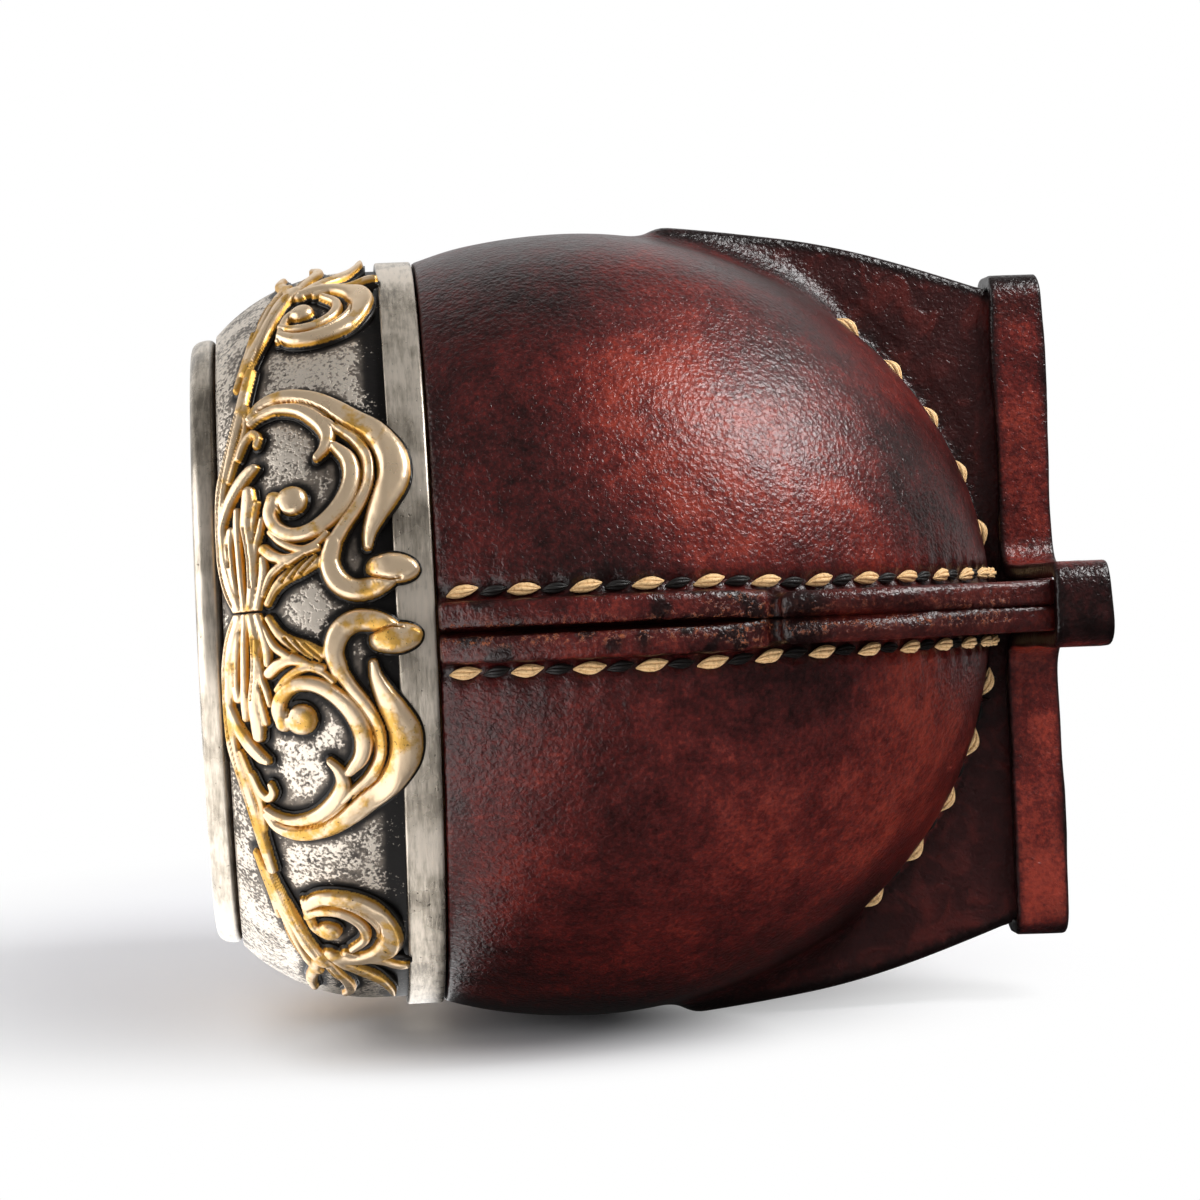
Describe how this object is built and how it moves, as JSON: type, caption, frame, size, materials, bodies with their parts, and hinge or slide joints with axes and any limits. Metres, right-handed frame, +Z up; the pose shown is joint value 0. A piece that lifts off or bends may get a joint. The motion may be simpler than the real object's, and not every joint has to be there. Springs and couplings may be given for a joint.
{
  "type": "mate gourd",
  "caption": "Round drinking cup made from a dried gourd in a sewn leather cover, with a metal rim carrying cast scrolls and a four-armed leather foot.",
  "frame": {"origin": "middle of the bounding box on the plane that the foot stands on", "axes": "+Z up through the mouth, -Y towards the front seam, +X to the right side fin"},
  "size_m": [0.0948, 0.0996, 0.1033],
  "materials": {
    "gourd": "dry pale brown gourd wall",
    "dark_metal": "oxidised ground with rubbed silver patches",
    "polished_metal": "worn polish, warm silver",
    "gilt_metal": "cast, gilt, dark in its grooves",
    "leather": "dark red, burnished dark at edges and folds",
    "thread": "waxed tan and black thread"
  },
  "bodies": {
    "root": {"gourd_shell": "gourd", "rim_band": "dark_metal", "rim_lip": "polished_metal", "rim_sleeve": "polished_metal", "rim_edge_band": "polished_metal", "casting_scroll_front_right": "gilt_metal", "casting_scroll_front_left": "gilt_metal", "casting_scroll_back_right": "gilt_metal", "casting_scroll_back_left": "gilt_metal", "casting_leaf_front_right": "gilt_metal", "casting_leaf_front_left": "gilt_metal", "casting_leaf_back_right": "gilt_metal", "casting_leaf_back_left": "gilt_metal", "casting_crescent_front_right": "gilt_metal", "casting_crescent_front_left": "gilt_metal", "casting_crescent_back_right": "gilt_metal", "casting_crescent_back_left": "gilt_metal", "leather_half_right": "leather", "leather_half_left": "leather", "foot_strip": "leather", "stitch_seam_front_right": "thread", "stitch_seam_front_left": "thread", "stitch_seam_back_right": "thread", "stitch_seam_back_left": "thread", "stitch_fin_right_front": "thread", "stitch_fin_right_back": "thread", "stitch_fin_left_front": "thread", "stitch_fin_left_back": "thread"}
  },
  "joints": []
}
